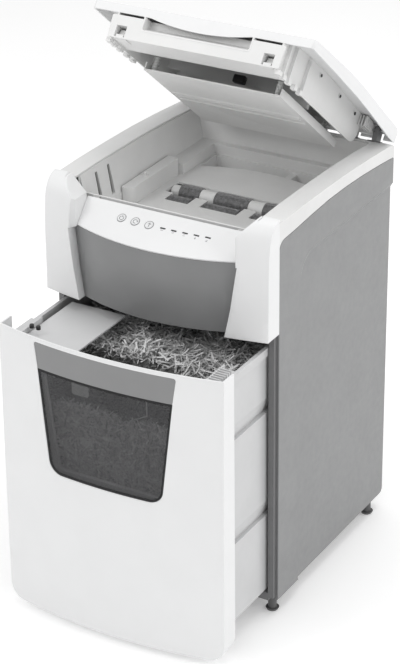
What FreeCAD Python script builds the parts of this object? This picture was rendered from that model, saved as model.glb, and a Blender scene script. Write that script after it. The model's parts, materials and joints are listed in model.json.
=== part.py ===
"""Office auto-feed paper shredder: a cabinet with a cutting head, a hinged lid and a pull-out bin.

Millimetres. X is across, Y runs from the front (minus) to the back, Z is up and 0 at the floor.
The lid stands open and the bin is part way out.
The shapes are drawn with Y 0 in the middle of the cabinet, then moved back by ORIGIN_SHIFT as they are saved.
That puts the origin on the floor under the middle of the whole object as it stands.
"""

import FreeCAD, Part
import math
import os

V = FreeCAD.Vector

# Whole cabinet
ORIGIN_SHIFT = 67.1
HALF_WIDTH = 196.5
FRONT_Y = -172.0            # front edge of the side panels
REAR_Y = 209.0
CABINET_BOTTOM = 28.0
HEAD_Z = 503.0              # underside of the cutting head, just over the bin
WALL = 3.0
SEAM = 0.6
PANEL_STEP = 4.5            # how far the lower rear of each side lies inside its front
PANEL_STEP_Y = -97.0
PANEL_STEP_Z = 595.0

# Bowed front
BOW_RADIUS = 851.0
BOW_FRONT = -230.0          # foremost point of the head, at mid-width
PANEL_BOW_RADIUS = 350.0
PILLAR_REAR = -174.0
CONTROL_HALF = 139.5
CONTROL_LOW = (-230.0, 622.0)
CONTROL_HIGH = (-169.0, 657.0)
CONTROL_END_Y = -201.0
BUTTON_RADIUS = 6.2
BUTTON_X = {"power_button": -66.0, "reverse_button": -41.0, "forward_button": -16.0}
BUTTON_UP = 0.62            # place up the control panel, as a share of its slope
INDICATOR_X = [8.0, 27.0, 46.0, 65.0, 84.0]
BUTTON_STEM = -9.5          # lower end of each button's stem, below the panel's face
SWITCH_GAP = 1.5

# Paper tray
TRAY_HALF = 148.0
TRAY_TOP_HALF = 161.5
TRAY_FRONT = -162.0
TRAY_REAR = 198.0
TRAY_FLOOR = 600.0
LEDGE_Z = 618.0
RECESS_HALF = 120.0
RECESS_REAR = 186.0
RIDGE = [(-171.4, 684.0), (-107.0, 685.0), (-29.0, 684.0), (51.0, 682.0), (134.0, 677.0), (205.0, 671.0),
    (211.0, 667.0)]
SEAM_LINE = [(-154.0, 654.0), (-119.0, 655.5), (-70.0, 659.0), (-14.0, 661.5), (44.0, 661.0), (103.0, 658.0),
             (163.0, 653.0), (209.0, 648.0)]

# Cutting head
CUTTER_REAR_Y = 39.0
CUTTER_FRONT_Y = -1.0
CUTTER_Z = 545.0
CUTTER_RADIUS = 21.0
CUTTER_PITCH = 8.0
CUTTER_DISCS = 27
FEED_Z = 590.0
PLATE_X = 116.0             # inner face of each cutter side plate
PLATE_THICK = 4.0
SHAFT_RADIUS = 8.0
BEARING_RADIUS = 13.0
FEED_SHAFT_RADIUS = 4.0
BUSH_RADIUS = 5.8
IDLER_Y = 70.5
MOTOR_Y = 100.5
MOTOR_RADIUS = 32.0
GEAR_PLANES = {"sync": (-132.0, -124.0), "first": (-144.0, -136.0), "second": (-154.0, -146.0)}
BELT_PLANES = {"front": (128.0, 134.0), "rear": (136.0, 142.0)}
PULLEY_RADIUS = 12.0
FEED_BANDS = [(-95.0, -57.0), (-31.0, 31.0), (57.0, 95.0)]

# Lid, drawn shut and then opened about its pin
COVER_HALF = 190.0
COVER_FRONT = -146.0
COVER_SKIN = 2.6
PIN_Y = 218.0
PIN_Z = 684.0
LID_OPEN = 39.3
LATCH_FRONT = -150.0        # front face of the latch plate
LID_BOX_HALF = 143.0
LATCH_BOX_REAR = -88.0      # rear of the box behind the latch plate
LID_BOX_REAR = 190.0
LID_BOX_LOW = 645.0
LATCH_X = 127.0
LATCH_Z = 659.0
PRESS_HALF = 120.0
PRESS_FRONT = -60.0
PRESS_REAR = 173.0
PRESS_Z = 634.0
PRESS_SLOT_Y = 47.0
LATCH_BOX_LOW = 648.5
CEILING_Z = 674.0
POST_X = 108.0
POST_Y = (-50.0, 146.0)
SPRING_TOP = 667.2
SIDE_SCREWS = [(-1.0, 693.0), (84.0, 690.5), (154.0, 687.0)]
HINGE_X = (-164.0, -124.0, 124.0, 164.0)
FEED_SLOT_HALF = 1.8        # half the width of the manual feed slit through the lid

# Bin, drawn shut and then pulled out
BIN_OUT = 136.0
BIN_TOP = 500.0
BIN_BOTTOM = 13.0
TUB_HALF = 178.0
TUB_FRONT = -197.0
TUB_REAR = 166.0
TUB_BOTTOM = 46.0
TUB_TOP = 480.0
TUB_STEPS = (184.0, 367.0)  # ledges in the tub's sides
TUB_STEP_IN = 7.0
TUB_STEP_RISE = 26.0
WINDOW = [(-99.1, 276.0), (99.1, 276.0), (118.0, 449.0), (-118.0, 449.0)]
BAND = [(-117.9, 450.0), (117.9, 450.0), (124.0, 493.0), (-124.0, 493.0)]
BAND_HOLE = [(-118.0, 448.0), (118.0, 448.0), (124.5, 493.5), (-124.5, 493.5)]
RAIL_X = 150.0              # the slides under the tub
SHUT_COLUMN_Y = -181.0      # front face of the columns beside the bin


# ---------------------------------------------------------------- helpers

def box(x, y, z):
    """A block between two bounds on each axis."""
    return Part.makeBox(x[1] - x[0], y[1] - y[0], z[1] - z[0], V(x[0], y[0], z[0]))


def rod(start, direction, length, radius):
    return Part.makeCylinder(radius, length, V(*start), V(*direction))


def cross_rod(x, y, z, radius):
    """A cylinder along X between two bounds."""
    return Part.makeCylinder(radius, x[1] - x[0], V(x[0], y, z), V(1, 0, 0))


def lift(axis, level):
    """How a flat point is placed across an axis: (Y, Z) on X, (X, Z) on Y, (X, Y) on Z."""
    return {"x": lambda p: V(level, p.x, p.y), "y": lambda p: V(p.x, level, p.y),
        "z": lambda p: V(p.x, p.y, level)}[axis]


def outline(corners, radii, place):
    """A closed wire through flat corners, each rounded to its radius."""
    points = [V(a, b, 0) for a, b in corners]
    turns = []
    for i, (here, radius) in enumerate(zip(points, radii)):
        back = (points[i - 1] - here).normalize()
        ahead = (points[(i + 1) % len(points)] - here).normalize()
        half = back.getAngle(ahead) / 2
        centre = here + (back + ahead).normalize() * (radius / math.sin(half)) if radius else here
        cut = radius / math.tan(half)
        middle = centre + (here - centre).normalize() * radius if radius else here
        turns.append((here + back * cut, middle, here + ahead * cut))
    edges = []
    for i, (start, middle, end) in enumerate(turns):
        if radii[i]:
            edges.append(Part.Arc(place(start), place(middle), place(end)).toShape())
        following = turns[(i + 1) % len(turns)][0]
        if (following - end).Length > 1e-6:
            edges.append(Part.LineSegment(place(end), place(following)).toShape())
    return Part.Wire(edges)


def prism(corners, axis, bounds, radii=0.0):
    """A flat outline pulled along an axis. One radius rounds every corner, or each corner has its own."""
    radii = radii if isinstance(radii, list) else [radii] * len(corners)
    face = Part.Face(outline(corners, radii, lift(axis, bounds[0])))
    reach = bounds[1] - bounds[0]
    return face.extrude({"x": V(reach, 0, 0), "y": V(0, reach, 0), "z": V(0, 0, reach)}[axis])


def grown(corners, amount):
    """Flat corners moved outwards by an amount, along the mean of their two sides' normals."""
    points = [V(a, b, 0) for a, b in corners]
    area = sum(p.x * q.y - q.x * p.y for p, q in zip(points, points[1:] + points[:1]))
    turn = 1 if area > 0 else -1
    moved = []
    for i, here in enumerate(points):
        back = (here - points[i - 1]).normalize()
        ahead = (points[(i + 1) % len(points)] - here).normalize()
        first, second = V(back.y, -back.x, 0) * turn, V(ahead.y, -ahead.x, 0) * turn
        normal = (first + second).normalize()
        reach = amount / normal.dot(first)
        moved.append((here.x + normal.x * reach, here.y + normal.y * reach))
    return moved


def swept_face(curve, closing):
    """A face at mid-width: a smooth (Y, Z) curve closed by straight runs."""
    smooth = Part.BSplineCurve()
    smooth.interpolate([V(0, y, z) for y, z in curve])
    corners = [V(0, *curve[-1])] + [V(0, y, z) for y, z in closing] + [V(0, *curve[0])]
    runs = [Part.LineSegment(a, b).toShape() for a, b in zip(corners, corners[1:])]
    return Part.Face(Part.Wire([smooth.toShape()] + runs))


def bowed(face, radius=BOW_RADIUS, front=BOW_FRONT, reach=HALF_WIDTH + 8):
    """A face at mid-width turned about a far upright axis, so that it bows forward in plan."""
    half = math.degrees(math.asin(reach / radius))
    axis = V(0, front + radius, 0)
    turned = face.copy()
    turned.rotate(axis, V(0, 0, 1), -half)
    return turned.revolve(axis, V(0, 0, 1), 2 * half)


def flat_face(corners):
    return Part.Face(outline(corners, [0] * len(corners), lift("x", 0)))


def fuse(shapes):
    return shapes[0].multiFuse(shapes[1:]).removeSplitter()


def largest(shape):
    """The main solid of a shape, without slivers that a cut leaves loose."""
    return max(shape.Solids, key=lambda solid: solid.Volume)


def mirrored(shape):
    return shape.mirror(V(0, 0, 0), V(1, 0, 0))


def both(shape):
    """A piece and its mirror image, as one fused shape or two solids."""
    return Part.makeCompound([shape, mirrored(shape)])


def opened(shape):
    turned = shape.copy()
    turned.rotate(V(0, PIN_Y, PIN_Z), V(1, 0, 0), -LID_OPEN)
    return turned


def pulled(shape):
    moved = shape.copy()
    moved.translate(V(0, -BIN_OUT, 0))
    return moved


def gear(teeth, module, planes, y, z, bore, tooth_up):
    """A spur gear about X with straight-sided teeth; tooth_up turns it by a share of one tooth."""
    pitch = teeth * module / 2
    step = 2 * math.pi / teeth
    rings = [(pitch - 1.2 * module, 0.34), (pitch, 0.2), (pitch + 0.8 * module, 0.11)]
    corners = []
    for tooth in range(teeth):
        middle = (tooth + tooth_up) * step
        for radius, share in rings:
            corners.append((radius, middle - share * step))
        for radius, share in reversed(rings):
            corners.append((radius, middle + share * step))
    flat = [(y + r * math.cos(a), z + r * math.sin(a)) for r, a in corners]
    return prism(flat, "x", planes).cut(cross_rod(planes, y, z, bore))


def save(name, *shapes):
    solids = [solid for shape in shapes for solid in shape.Solids]
    solids = [solid if solid.Volume > 0 else solid.reversed() for solid in solids]
    solids = [solid.translated(V(0, ORIGIN_SHIFT, 0)) for solid in solids]
    Part.makeCompound(solids).exportStep(f"parts/{name}.step")
    print(f"{name:24s} solids {len(solids):3d}  volume {sum(s.Volume for s in solids) / 1000:9.1f} cm3"
          f"  valid {all(s.isValid() for s in solids)}")


# ---------------------------------------------------------------- cabinet covers

def side_outline():
    """The cabinet's side, from its bottom edge up to the seam under the top trim."""
    return [(FRONT_Y, CABINET_BOTTOM), (FRONT_Y, 653.0)] + SEAM_LINE[1:] + [(REAR_Y, CABINET_BOTTOM)]


SIDE_RADII = [4.0, 15.0] + [0.0] * (len(SEAM_LINE) - 1) + [9.0]


def step_wire(grow, x):
    """The edge of the sunk lower rear area of a side panel."""
    y, z = PANEL_STEP_Y - grow, PANEL_STEP_Z + grow
    corners = [(y, 10.0), (y, z), (REAR_Y + 20, z + 2), (REAR_Y + 20, 10.0)]
    return outline(corners, [0, 40.0, 0, 0], lift("x", x))


def side_panel():
    """The right-hand gray panel, sunk behind and below a soft step."""
    outer = HALF_WIDTH
    corners = side_outline()
    radii = SIDE_RADII
    block = prism(corners, "x", (outer - PANEL_STEP - WALL, outer), radii)
    sunk = Part.makeLoft([step_wire(0, outer - PANEL_STEP), step_wire(10, outer + 1)], True, True)
    behind = Part.makeLoft([step_wire(4, outer - PANEL_STEP - WALL), step_wire(14, outer - WALL + 1)], True,
        True)
    hollow = prism(corners, "x", (outer - PANEL_STEP - WALL - 1, outer - WALL), radii).cut(behind)
    return block.cut(sunk).cut(hollow)


SCREW_PLACES = [(x, z) for x in (-174.0, 174.0) for z in (120.0, 300.0, 480.0)]


def rear_panel():
    half = HALF_WIDTH - PANEL_STEP - WALL - 0.3
    panel = box((-half, half), (REAR_Y - WALL, REAR_Y), (31.0, 647.0))
    for x, z in SCREW_PLACES:
        panel = panel.cut(rod((x, REAR_Y + 1, z), (0, -1, 0), WALL + 2, 1.9))
    for side in (-1, 1):
        for row in range(9):
            x = side * 95.0
            panel = panel.cut(box((x - 42, x + 42), (REAR_Y - 10, REAR_Y + 10),
                (520 + row * 7.5, 523.5 + row * 7.5)))
    panel = panel.cut(box((110.5, 139.5), (REAR_Y - 10, REAR_Y + 10), (63.5, 86.5)))
    return panel.cut(box((150.5, 165.5), (REAR_Y - 10, REAR_Y + 10), (63.5, 86.5)))


def base_pan():
    """The floor of the cabinet, with a lip round it that the panels are screwed to."""
    half = HALF_WIDTH - PANEL_STEP - WALL - 0.3
    low, high = CABINET_BOTTOM + 0.2, CABINET_BOTTOM + 12
    pan = box((-half, half), (FRONT_Y + 0.3, REAR_Y - WALL - 0.3), (low, high))
    return pan.cut(box((-half + 3, half - 3), (FRONT_Y + 4, REAR_Y - WALL - 4), (low + 3, high)))


def front_frame():
    """The inner frame that the bin closes onto: two columns and a bar at the bottom."""
    low, high = CABINET_BOTTOM, HEAD_Z - 0.5
    column = box((183.0, 192.6), (SHUT_COLUMN_Y, FRONT_Y - 0.2), (low + 6, high))
    column = column.fuse(box((192.0, 196.2), (FRONT_Y - 1.6, FRONT_Y - 0.2), (low, high)))
    column = column.cut(box((182.0, 185.0), (SHUT_COLUMN_Y + 3, FRONT_Y - 3), (low + 100, high - 8)))
    bar = box((-184.0, 184.0), (SHUT_COLUMN_Y, FRONT_Y + 4), (low, 42.0))
    bar = bar.cut(box((-176.0, 176.0), (SHUT_COLUMN_Y + 3, FRONT_Y - 1), (low + 3, 43.0)))
    bar = bar.cut(box((-250, 250), (FRONT_Y - 1, FRONT_Y + 5), (38.0, 43.0)))
    return fuse([bar, column, mirrored(column)])


PILLAR_LINE = [(-230.0, HEAD_Z), (-229.0, 575.0), (-228.0, 624.0), (-225.0, 656.0), (-219.4, 674.0),
    (-209.0, 686.0),
               (-196.0, 691.0), (-150.0, 691.5)]
PILLAR_INNER = [(128.0, 499.0), (138.0, 550.0), (150.0, 633.0), (155.0, 660.0), (165.0, 684.0),
    (178.0, 700.0)]


def pillar():
    """The right-hand white corner cover, bowed with the front and curled back at the top."""
    outer = bowed(swept_face(PILLAR_LINE, [(-150.0, HEAD_Z)]))
    inset = [(y + WALL, z - (WALL if z > 690 else 0.35 * WALL if z > 680 else 0)) for y, z in PILLAR_LINE]
    inset[0] = (inset[0][0], HEAD_Z - 1)
    inner = bowed(swept_face(inset, [(-150.0, HEAD_Z - 1)]))
    keep = prism(PILLAR_INNER + [(HALF_WIDTH, 700.0), (HALF_WIDTH, 499.0)], "y", (-240.0, PILLAR_REAR + 2))
    spare = prism(grown(PILLAR_INNER + [(HALF_WIDTH, 720.0), (HALF_WIDTH, 480.0)], -WALL), "y",
        (-240.0, PILLAR_REAR + 3))
    shell = outer.common(keep).cut(inner.common(spare))
    cheek = [(CONTROL_HALF + 0.4, PILLAR_REAR + 2), (CONTROL_HALF + 0.4, -205.0), (150.0, -222.0),
        (168.0, -222.0),
             (168.0, PILLAR_REAR + 2)]
    cheek = prism(cheek, "z", (619.6, 692.0)).common(outer)
    upright = prism([(139.9, 619.6), (139.9, 664.0), (165.0, 690.0), (168.0, 690.0), (168.0, 619.6)], "y",
        (-240.0, -160.0))
    return fuse([shell, cheek.common(upright)])


def between_pillars(gap):
    """The XZ outline between the pillars' inner edges."""
    right = [(x - gap, z) for x, z in PILLAR_INNER[:3]]
    return [(-x, z) for x, z in reversed(right)] + right


def front_panel():
    """The gray bowed panel under the controls."""
    front = BOW_FRONT + 1.5
    low, high = HEAD_Z + 0.5, CONTROL_LOW[1] - 2.9
    face = flat_face([(front, low), (front, high), (front + WALL, high), (front + WALL, low)])
    return bowed(face, PANEL_BOW_RADIUS, front,
        160.0).common(prism(between_pillars(0.5), "y", (-240.0, -180.0)))


def control_point(x, share):
    """A point on the control panel's face: x across, and a share of the way up its slope."""
    centre_y = CONTROL_LOW[0] + (CONTROL_END_Y - CONTROL_LOW[0]) * (x / CONTROL_HALF) ** 2
    return V(x, centre_y + (CONTROL_HIGH[0] - centre_y) * share,
             CONTROL_LOW[1] + (CONTROL_HIGH[1] - CONTROL_LOW[1]) * share)


def on_control(shape, x, share=BUTTON_UP):
    """Stands a piece drawn about Z, with its top at 0, on the control panel's face."""
    placed = shape.copy()
    placed.rotate(V(0, 0, 0), V(1, 0, 0), 30.0)
    placed.translate(control_point(x, share))
    return placed


def control_panel():
    """The white sloped panel: a bowed lower edge, a straight upper edge, and holes for the controls."""
    low, high = [[V(-CONTROL_HALF, end_y, z), V(0, centre_y, z), V(CONTROL_HALF, end_y, z)]
        for end_y, centre_y, z in
                 ((CONTROL_END_Y, *CONTROL_LOW), (CONTROL_HIGH[0], CONTROL_HIGH[0] - 0.5, CONTROL_HIGH[1]))]
    face = Part.makeRuledSurface(Part.Arc(*low).toShape(), Part.Arc(*high).toShape())
    panel = face.extrude(V(0, 1.6, -2.6))
    for x in BUTTON_X.values():
        panel = panel.cut(on_control(rod((0, 0, -12), (0, 0, 1), 24, BUTTON_RADIUS + 0.3), x))
    for x in INDICATOR_X:
        panel = panel.cut(on_control(box((-4.7, 4.7), (-1.3, 1.3), (-9, 9)), x))
    return panel


def button(x):
    """A round push-button with a dished face and a stem down to its switch."""
    cap = rod((0, 0, -5), (0, 0, 1), 6.0, BUTTON_RADIUS).cut(
        rod((0, 0, 0.4), (0, 0, 1), 1.0, BUTTON_RADIUS - 1.1))
    stem = rod((0, 0, BUTTON_STEM), (0, 0, 1), 5.0, 2.0)
    return on_control(fuse([cap, stem]), x)


def indicator_lenses():
    return [on_control(box((-4.5, 4.5), (-1.1, 1.1), (-4.0, 0.2)), x) for x in INDICATOR_X]


def control_board():
    """The board under the controls, with a switch below each button and a light below each lens."""
    depth = BUTTON_STEM - SWITCH_GAP
    plate = on_control(box((-88, 96), (-12, 12), (depth - 6.6, depth - 5)), 0.0)
    switches = [on_control(box((-3, 3), (-3, 3), (depth - 6, depth)), x) for x in BUTTON_X.values()]
    lights = [on_control(box((-1.5, 1.5), (-1, 1), (depth - 6, depth - 2)), x) for x in INDICATOR_X]
    return fuse([plate] + switches + lights)


def ridge_block(drop, x, rear_drop=0.0):
    """Everything under the top trim's ridge line, less a drop."""
    top = [(y, z - drop) for y, z in RIDGE]
    top[-1] = (top[-1][0] - rear_drop, top[-1][1])
    return prism([(top[0][0], 560.0)] + top + [(top[-1][0], 560.0)], "x", x)


def top_trim():
    """The light ring round the tray: an outer wall above the gray panels and a broad flat top."""
    outer = HALF_WIDTH - 0.5
    seam = [(FRONT_Y - 0.1, 653.0 + SEAM)] + [(y, z + SEAM) for y, z in SEAM_LINE[1:]] + [(REAR_Y + 4, 648.0)]
    above = [(REAR_Y + 4, 760.0), (FRONT_Y - 0.1, 760.0)]
    block = ridge_block(0.0, (-outer, outer)).common(prism(seam + above, "x", (-outer, outer)))
    front_corner = prism([(FRONT_Y, 640.6), (FRONT_Y, 654.0), (FRONT_Y + 15, 654.0)], "x", (-outer, outer))
    inside = ridge_block(WALL, (-outer + WALL, outer - WALL), WALL)
    hollow = inside.cut(box((-250, 250), (FRONT_Y - 5, FRONT_Y + 0.2), (500, 700)))
    opening = prism([(-TRAY_TOP_HALF, FRONT_Y - 5), (TRAY_TOP_HALF, FRONT_Y - 5),
        (TRAY_TOP_HALF, TRAY_REAR + 1.5),
                     (-TRAY_TOP_HALF, TRAY_REAR + 1.5)], "z", (500.0, 760.0), [0, 0, 14.0, 14.0])
    ring = block.cut(hollow).cut(opening)
    ahead = box((-250, 250), (FRONT_Y - 5, FRONT_Y + 0.1), (500, 760))
    fillet = front_corner.common(box((-outer, outer), (FRONT_Y + 0.1, -150), (600, 700))).cut(
        box((-outer + WALL, outer - WALL), (-200, -100), (600, 700)))
    sides = prism(grown(side_outline(), 0.2), "x", (180.0, 210.0), SIDE_RADII)
    trim = ring.cut(ahead).fuse(fillet).removeSplitter()
    return trim.cut(sides).cut(mirrored(sides))


# ---------------------------------------------------------------- paper tray

def tray_section(low_half, high_half, low, high):
    return [(-low_half, low), (low_half, low), (high_half, high), (-high_half, high)]


def paper_tray():
    """The tray in the top: sloping walls, a ledge each side, a sunk floor and two pockets behind it."""
    wall = 2.5
    block = prism(tray_section(TRAY_HALF + wall, TRAY_TOP_HALF + wall, 596.0, 684.0), "y",
        (TRAY_FRONT, TRAY_REAR + wall))
    block = block.common(ridge_block(WALL + 0.3, (-200, 200)))
    cavity = prism(tray_section(TRAY_HALF, TRAY_TOP_HALF, LEDGE_Z, 686.0), "y",
        (TRAY_FRONT + wall, TRAY_REAR))
    cavity = cavity.fuse(box((-TRAY_TOP_HALF, TRAY_TOP_HALF), (TRAY_FRONT - 5, TRAY_FRONT + 5),
        (657.6, 700.0)))
    recess = box((-RECESS_HALF, RECESS_HALF), (TRAY_FRONT + wall, RECESS_REAR), (TRAY_FLOOR, LEDGE_Z + 1))
    low_side = box((-TRAY_HALF + 1, -RECESS_HALF + 1), (TRAY_FRONT + wall, 84.0), (TRAY_FLOOR, LEDGE_Z + 1))
    under = box((RECESS_HALF + wall, TRAY_HALF), (TRAY_FRONT + 6, TRAY_REAR - 2), (590.0, LEDGE_Z - wall))
    tray = block.cut(cavity).cut(recess).cut(low_side).cut(under)
    tray = tray.cut(box((-TRAY_HALF, -RECESS_HALF - wall), (88.0, TRAY_REAR - 2), (590.0, LEDGE_Z - wall)))
    catches = [box((x - 8, x + 8), (TRAY_FRONT - 1, TRAY_FRONT + wall + 1), (649.6, 655.4))
        for x in (-LATCH_X, LATCH_X)]
    return tray.cut(roller_windows()).cut(pocket_hole()).cut(wall_slots()).cut(fuse(catches))


def roller_windows():
    """The gaps in the tray floor for the feed rollers, and the paper throat between them."""
    low, high = 590.0, 610.0
    rear = box((-112, 112), (24, 56), (low, high))
    throat = box((-112, 112), (14, 25), (low, high))
    front = [box((a - 2, b + 2), (-14, 15), (low, high)) for a, b in FEED_BANDS]
    return fuse([rear, throat] + front)


def pocket_hole():
    """The hole in the floor behind its curved rear edge."""
    corners = [V(-114, 128, 0), V(0, 154, 0), V(114, 128, 0)]
    edges = [Part.Arc(*corners).toShape()]
    back = RECESS_REAR - 3
    ends = [corners[2], V(114, back, 0), V(-114, back, 0), corners[0]]
    edges += [Part.LineSegment(a, b).toShape() for a, b in zip(ends, ends[1:])]
    space = Part.Face(Part.Wire(edges))
    space.translate(V(0, 0, 590.0))
    return space.extrude(V(0, 0, 15.0))


def tray_pockets():
    """The trough under the pockets, hung below the tray floor."""
    rim = prism([(-117, 127), (117, 127), (117, RECESS_REAR), (-117, RECESS_REAR)], "z", (578.0, 597.0))
    inside = prism([(-114, 130), (114, 130), (114, RECESS_REAR - 3), (-114, RECESS_REAR - 3)], "z",
        (580.0, 598.0))
    rib = box((24, 36), (130, RECESS_REAR - 3), (580.0, TRAY_FLOOR - 6))
    return fuse([rim.cut(inside), rib])


def tray_mouldings(tray):
    """The tray parted where its flat stretches meet, so that each stretch is a simple shape of its own."""
    far = 400.0
    front, back = TRAY_FRONT + 2.5, TRAY_REAR
    low, high = (0.0, LEDGE_Z), (LEDGE_Z, 800.0)
    left, right = (-far, -RECESS_HALF), (RECESS_HALF, far)
    middle = (-RECESS_HALF, RECESS_HALF)
    edge, pocket_end = 127.0, RECESS_REAR - 3
    pocket, inner = (edge, pocket_end), (-114.0, 114.0)
    under = TRAY_FLOOR - 4
    zones = [((-far, far), (-far, front), (0.0, 800.0)), ((-far, far), (back, far), (0.0, 800.0))]
    zones += [(side, (front, back), high) for side in (left, right)]
    zones += [(right, (front, back), low), (left, (front, 86.0), low), (left, (86.0, back), low)]
    zones += [(middle, (front, edge), low), (middle, (pocket_end, back), low)]
    zones += [((-RECESS_HALF, inner[0]), pocket, low), ((inner[1], RECESS_HALF), pocket, low)]
    zones += [(inner, pocket, (under, 800.0)), (inner, (edge, 130.0), (0.0, under))]
    zones += [(inner, (130.0, pocket_end), (0.0, 580.0)), (inner, (130.0, pocket_end), (580.0, under))]
    scrap = 100.0
    return [solid for zone in zones for solid in tray.common(box(*zone)).Solids if solid.Volume > scrap]


def wall_slots():
    """Two upright slots in the left wall, narrower at the top."""
    cuts = []
    for y in (-115.0, -80.0):
        corners = [(y - 4.5, 624.0), (y + 4.5, 624.0), (y + 3.0, 672.0), (y - 3.0, 672.0)]
        cuts.append(prism(corners, "x", (-170.0, -140.0)))
    return fuse(cuts)


def guide_block():
    """The paper guide along the left wall, with a rounded front end and a peg on top."""
    body = prism([(-147.0, -62.0), (-127.0, -62.0), (-127.0, 82.0), (-147.0, 82.0)], "z", (TRAY_FLOOR, 629.0),
                 [4.0, 14.0, 2.0, 1.0])
    peg = rod((-138, -4, 629), (0, 0, 1), 6, 2.6)
    bar = box((-143, -133), (-6, -2), (629, 631.5))
    return fuse([body, peg, bar])


def feet():
    """Four round glides, each with a wider foot."""
    shapes = []
    for x in (-180.0, 180.0):
        for y in (-160.0, 176.0):
            stem = rod((x, y, 4), (0, 0, 1), CABINET_BOTTOM - 3.8, 7.0)
            pad = Part.makeCone(9.0, 11.0, 4.0, V(x, y, 0))
            shapes.append(fuse([stem, pad]))
    return shapes


# ---------------------------------------------------------------- cutting head

def head_plate():
    """The plate over the bin that carries the cutting head, with the slot that the shreds fall through."""
    plate = box((-188.0, 188.0), (FRONT_Y + 1, REAR_Y - WALL - 1), (HEAD_Z, HEAD_Z + WALL))
    slot = prism([(-112, -14), (112, -14), (112, 52), (-112, 52)], "z", (HEAD_Z - 1, HEAD_Z + WALL + 1), 6.0)
    return plate.cut(slot)


def shaft_bore(y, radius, z=CUTTER_Z):
    return cross_rod((-200, 200), y, z, radius)


def cutter_plate(side):
    """One side plate of the cutting head; the left one also carries the motor."""
    inner, outer = PLATE_X, PLATE_X + PLATE_THICK
    low = HEAD_Z + WALL
    rear = MOTOR_Y + 36 if side < 0 else 70.0
    corners = [(-42, low), (rear, low), (rear, 576.0), (66.0, 582.0), (60.0, 594.0), (-22.0, 594.0),
        (-42.0, 575.0)]
    plate = prism(corners, "x", (inner, outer), [3, 3, 8, 4, 8, 8, 8])
    plate = mirrored(plate) if side < 0 else plate
    for y in (CUTTER_FRONT_Y, CUTTER_REAR_Y):
        plate = plate.cut(shaft_bore(y, BEARING_RADIUS + 0.02)).cut(shaft_bore(y, BUSH_RADIUS + 0.02, FEED_Z))
    if side < 0:
        plate = plate.cut(shaft_bore(MOTOR_Y, 6.5))
    return plate


def cutter_bearings():
    rings = []
    for side in (-1, 1):
        planes = sorted((side * PLATE_X, side * (PLATE_X + PLATE_THICK)))
        for y in (CUTTER_FRONT_Y, CUTTER_REAR_Y):
            ring = cross_rod(planes, y, CUTTER_Z, BEARING_RADIUS)
            rings.append(ring.cut(cross_rod(planes, y, CUTTER_Z, SHAFT_RADIUS + 0.03)))
            bush = cross_rod(planes, y, FEED_Z, BUSH_RADIUS)
            rings.append(bush.cut(cross_rod(planes, y, FEED_Z, FEED_SHAFT_RADIUS + 0.03)))
    return rings


def tie_rods():
    places = [(-34.0, 514.0), (-34.0, 566.0), (61.0, 511.8), (60.0, 574.0)]
    return [cross_rod((-PLATE_X, PLATE_X), y, z, 4.0) for y, z in places]


def disc(y, x, thickness, turn):
    """One hooked cutting disc."""
    hooks = 8
    corners = []
    for hook in range(hooks):
        start = (hook + turn) * 2 * math.pi / hooks
        for radius, share in ((CUTTER_RADIUS, 0.0), (CUTTER_RADIUS - 0.2, 0.42), (CUTTER_RADIUS - 2.6, 0.62)):
            angle = start + share * 2 * math.pi / hooks
            corners.append((y + radius * math.cos(angle), CUTTER_Z + radius * math.sin(angle)))
    return prism(corners, "x", (x, x + thickness))


def cutter_drum(y, offset):
    """The stack of hooked discs and spacers on one cutter shaft."""
    thickness = 3.4
    first = -CUTTER_PITCH * (CUTTER_DISCS - 1) / 2 + offset - thickness / 2
    discs = [disc(y, first + i * CUTTER_PITCH, thickness, 0.13 * i) for i in range(CUTTER_DISCS)]
    sleeve = cross_rod((-113.0, 113.0), y, CUTTER_Z, 16.6)
    return fuse([sleeve] + discs).cut(cross_rod((-120, 120), y, CUTTER_Z, SHAFT_RADIUS))


def stripper_comb(y, side, offset):
    """A bar below a cutter shaft with a finger between every two discs."""
    first = -CUTTER_PITCH * (CUTTER_DISCS - 1) / 2 + offset + CUTTER_PITCH / 2
    near, far = y + side * 10.5, y + side * 23.0
    bar = box((-PLATE_X, PLATE_X), sorted((far, far + side * 5)), (519.0, 534.0))
    fingers = [box((first + i * CUTTER_PITCH - 1.4, first + i * CUTTER_PITCH + 1.4), sorted((near, far)),
        (524.0, 529.0))
               for i in range(CUTTER_DISCS - 1)]
    return fuse([bar] + fingers)


def pulley(y, z, planes):
    """A belt pulley pressed on the end of a cutter shaft."""
    boss = cross_rod((planes[0] - 2, planes[0]), y, z, SHAFT_RADIUS + 2)
    return fuse([cross_rod(planes, y, z, PULLEY_RADIUS), boss]).cut(
        cross_rod((planes[0] - 2, planes[0]), y, z, SHAFT_RADIUS))


def belt(y, planes):
    """A belt up from a cutter shaft to the feed shaft above it."""
    def loop(radius):
        sides = box(planes, (y - radius, y + radius), (CUTTER_Z, FEED_Z))
        return fuse([sides, cross_rod(planes, y, CUTTER_Z, radius), cross_rod(planes, y, FEED_Z, radius)])
    return loop(PULLEY_RADIUS + 1.9).cut(loop(PULLEY_RADIUS + 0.35))


def feed_bands(y, radius):
    """The three rubber bands on a feed shaft."""
    return [cross_rod(band, y, FEED_Z, radius).cut(cross_rod(band, y, FEED_Z, FEED_SHAFT_RADIUS))
        for band in FEED_BANDS]


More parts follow.
